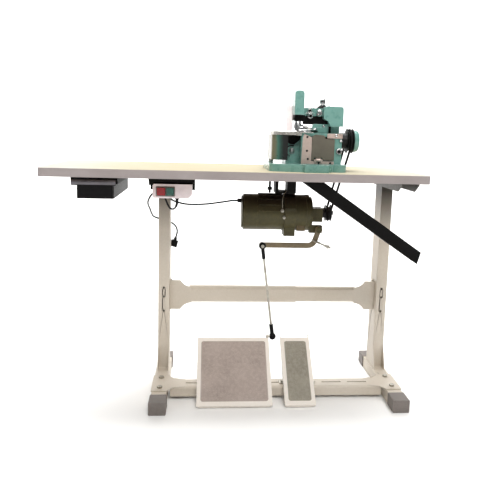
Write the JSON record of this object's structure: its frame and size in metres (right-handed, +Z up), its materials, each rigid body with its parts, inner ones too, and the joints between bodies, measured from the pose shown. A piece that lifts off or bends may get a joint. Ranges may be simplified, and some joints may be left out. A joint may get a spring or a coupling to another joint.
{
  "type": "serger overlock machine",
  "caption": "Overlock sewing head on its own laminate table and steel stand, with a clutch motor, treadles, switch box, drawer and waste chute.",
  "frame": {"origin": "on the floor under the middle of the table", "axes": "+X to the operator's right along the table, +Y away from the operator, +Z up"},
  "size_m": [1.2, 0.45, 1.037],
  "materials": {
    "table_laminate": "satin laminate with a faint grain",
    "edge_band": "satin",
    "stand_paint": "satin powder coat",
    "grey_cap": "matte moulded",
    "zinc_steel": "zinc plated",
    "treadle_paint": "satin powder coat",
    "mat_rubber_pink": "ribbed",
    "mat_rubber_olive": "ribbed",
    "black_plastic": "moulded",
    "black_paint": "satin",
    "lever_paint": "worn satin paint over a casting",
    "olive_paint": "satin hammer paint",
    "steel": "machined",
    "chrome": "polished",
    "belt_rubber": "matte",
    "cord_rubber": "satin",
    "switch_shell": "moulded",
    "red_button": "moulded",
    "green_button": "moulded",
    "green_enamel": "gloss enamel over a casting",
    "bare_plate": "satin machined",
    "cover_paint": "satin",
    "polished_plate": "ground and polished",
    "cast_iron_pulley": "black painted"
  },
  "bodies": {
    "stand": {"table_top": "table_laminate", "table_edge_band": "edge_band", "left_leg": "stand_paint", "right_leg": "stand_paint", "top_brackets": "stand_paint", "foot_caps": "grey_cap", "middle_beam_left": "stand_paint", "middle_beam_right": "stand_paint", "lower_beam": "stand_paint", "stand_fasteners": "zinc_steel", "treadle_brackets": "zinc_steel", "motor_mount": "black_paint", "motor_clamp_band": "olive_paint", "motor_housing": "olive_paint", "motor_end_bell": "olive_paint", "clutch_housing": "olive_paint", "motor_stator_bearings": "steel", "drive_belt": "belt_rubber", "switch_box": "switch_shell", "switch_bracket": "black_paint", "cord_fittings": "black_plastic", "motor_lead": "cord_rubber", "mains_lead": "cord_rubber", "mains_plug": "black_plastic", "drawer_rails": "black_paint", "waste_chute": "black_paint", "machine_base": "green_enamel", "machine_body": "green_enamel", "arm_cover": "green_enamel", "face_cover": "green_enamel", "looper_side_plate": "bare_plate", "needle_plate": "polished_plate", "thread_guides": "chrome"},
    "drawer": {"drawer": "black_plastic"},
    "stop_button": {"stop_button": "red_button"},
    "start_button": {"start_button": "green_button"},
    "motor_treadle": {"motor_treadle": "treadle_paint", "motor_treadle_mat": "mat_rubber_pink", "treadle_ball_stud": "zinc_steel"},
    "lifter_treadle": {"lifter_treadle": "treadle_paint", "lifter_treadle_mat": "mat_rubber_olive"},
    "clutch_lever": {"clutch_lever": "lever_paint", "lever_fittings": "zinc_steel"},
    "pitman_ball": {"pitman_upper_ball": "steel"},
    "pitman": {"pitman_sockets": "black_plastic", "pitman_rod": "zinc_steel"},
    "motor_rotor": {"motor_rotor": "steel"},
    "clutch_output": {"clutch_shaft": "steel", "motor_pulley": "cast_iron_pulley"},
    "main_shaft": {"main_shaft": "steel", "handwheel": "green_enamel"},
    "presser_foot": {"presser_foot": "chrome"},
    "needle_bar": {"needle_bar": "chrome"},
    "lower_looper": {"lower_looper": "steel"},
    "front_cover": {"front_cover": "cover_paint"},
    "cloth_plate": {"cloth_plate": "polished_plate", "cloth_plate_shell": "green_enamel"},
    "front_tension_dial": {"front_tension_dial": "chrome"},
    "top_tension_knob": {"top_tension_knob": "chrome"},
    "stitch_knob": {"stitch_knob": "chrome"}
  },
  "joints": [
    {"name": "drawer_slide", "type": "slide", "parent": "stand", "child": "drawer", "axis": [0, -1, 0], "range_m": [0, 0.22]},
    {"name": "stop_button_press", "type": "slide", "parent": "stand", "child": "stop_button", "axis": [0, 1, 0], "range_m": [0, 0.003], "stiffness_N_per_m": 500, "springref_m": -0.003},
    {"name": "start_button_press", "type": "slide", "parent": "stand", "child": "start_button", "axis": [0, 1, 0], "range_m": [0, 0.003], "stiffness_N_per_m": 500, "springref_m": -0.003},
    {"name": "motor_treadle_press", "type": "hinge", "parent": "stand", "child": "motor_treadle", "pos_m": [0.004, -0.08, 0.076], "axis": [1, 0, 0], "range_deg": [-12, 0], "stiffness_Nm_per_rad": 8, "springref_deg": 14.32},
    {"name": "lifter_treadle_press", "type": "hinge", "parent": "stand", "child": "lifter_treadle", "pos_m": [0.222, -0.08, 0.076], "axis": [1, 0, 0], "range_deg": [-12, 0]},
    {"name": "clutch_lever_swing", "type": "hinge", "parent": "stand", "child": "clutch_lever", "pos_m": [0.295, 0.0085, 0.568], "axis": [0, 1, 0], "range_deg": [-8, 1]},
    {"name": "pitman_ball_turn", "type": "hinge", "parent": "clutch_lever", "child": "pitman_ball", "pos_m": [0.097, -0.01, 0.512], "axis": [0, 1, 0], "range_deg": [-1, 10]},
    {"name": "pitman_swing", "type": "hinge", "parent": "pitman_ball", "child": "pitman", "pos_m": [0.097, -0.01, 0.512], "axis": [1, 0, 0], "range_deg": [-1, 6]},
    {"name": "handwheel_spin", "type": "hinge", "parent": "stand", "child": "main_shaft", "pos_m": [0.376, -0.04, 0.88], "axis": [1, 0, 0], "continuous": true},
    {"name": "clutch_output_spin", "type": "hinge", "parent": "stand", "child": "clutch_output", "pos_m": [0.335, 0.06, 0.622], "axis": [1, 0, 0], "continuous": true},
    {"name": "motor_rotor_spin", "type": "hinge", "parent": "stand", "child": "motor_rotor", "pos_m": [0.1, 0.06, 0.622], "axis": [1, 0, 0], "continuous": true},
    {"name": "presser_foot_lift", "type": "slide", "parent": "stand", "child": "presser_foot", "axis": [0, 0, 1], "range_m": [0, 0.005], "stiffness_N_per_m": 600, "springref_m": -0.005},
    {"name": "needle_bar_stroke", "type": "slide", "parent": "stand", "child": "needle_bar", "axis": [0, 0, 1], "range_m": [-0.013, 0.008]},
    {"name": "lower_looper_rock", "type": "hinge", "parent": "stand", "child": "lower_looper", "pos_m": [0.25, -0.08, 0.836], "axis": [0, 1, 0], "range_deg": [-5, 8]},
    {"name": "front_cover_open", "type": "hinge", "parent": "stand", "child": "front_cover", "pos_m": [0.26, -0.113, 0.816], "axis": [1, 0, 0], "range_deg": [0, 80]},
    {"name": "cloth_plate_swing", "type": "hinge", "parent": "stand", "child": "cloth_plate", "pos_m": [0.12, 0.02, 0.9045], "axis": [0, 0, 1], "range_deg": [-60, 0]},
    {"name": "front_tension_turn", "type": "hinge", "parent": "stand", "child": "front_tension_dial", "pos_m": [0.265, -0.07, 0.968], "axis": [0, -1, 0], "range_deg": [-135, 135]},
    {"name": "top_tension_turn", "type": "hinge", "parent": "stand", "child": "top_tension_knob", "pos_m": [0.28, -0.04, 1], "axis": [0, 0, 1], "range_deg": [-135, 135]},
    {"name": "stitch_knob_turn", "type": "hinge", "parent": "stand", "child": "stitch_knob", "pos_m": [0.327, -0.11, 0.846], "axis": [0, -1, 0], "range_deg": [0, 150]}
  ],
  "couplings": [
    {"joint": "clutch_lever_swing", "follows": "motor_treadle_press", "ratio": 0.513},
    {"joint": "pitman_ball_turn", "follows": "motor_treadle_press", "ratio": -0.613},
    {"joint": "pitman_swing", "follows": "motor_treadle_press", "ratio": -0.292},
    {"joint": "clutch_output_spin", "follows": "handwheel_spin", "ratio": 1.4264}
  ]
}
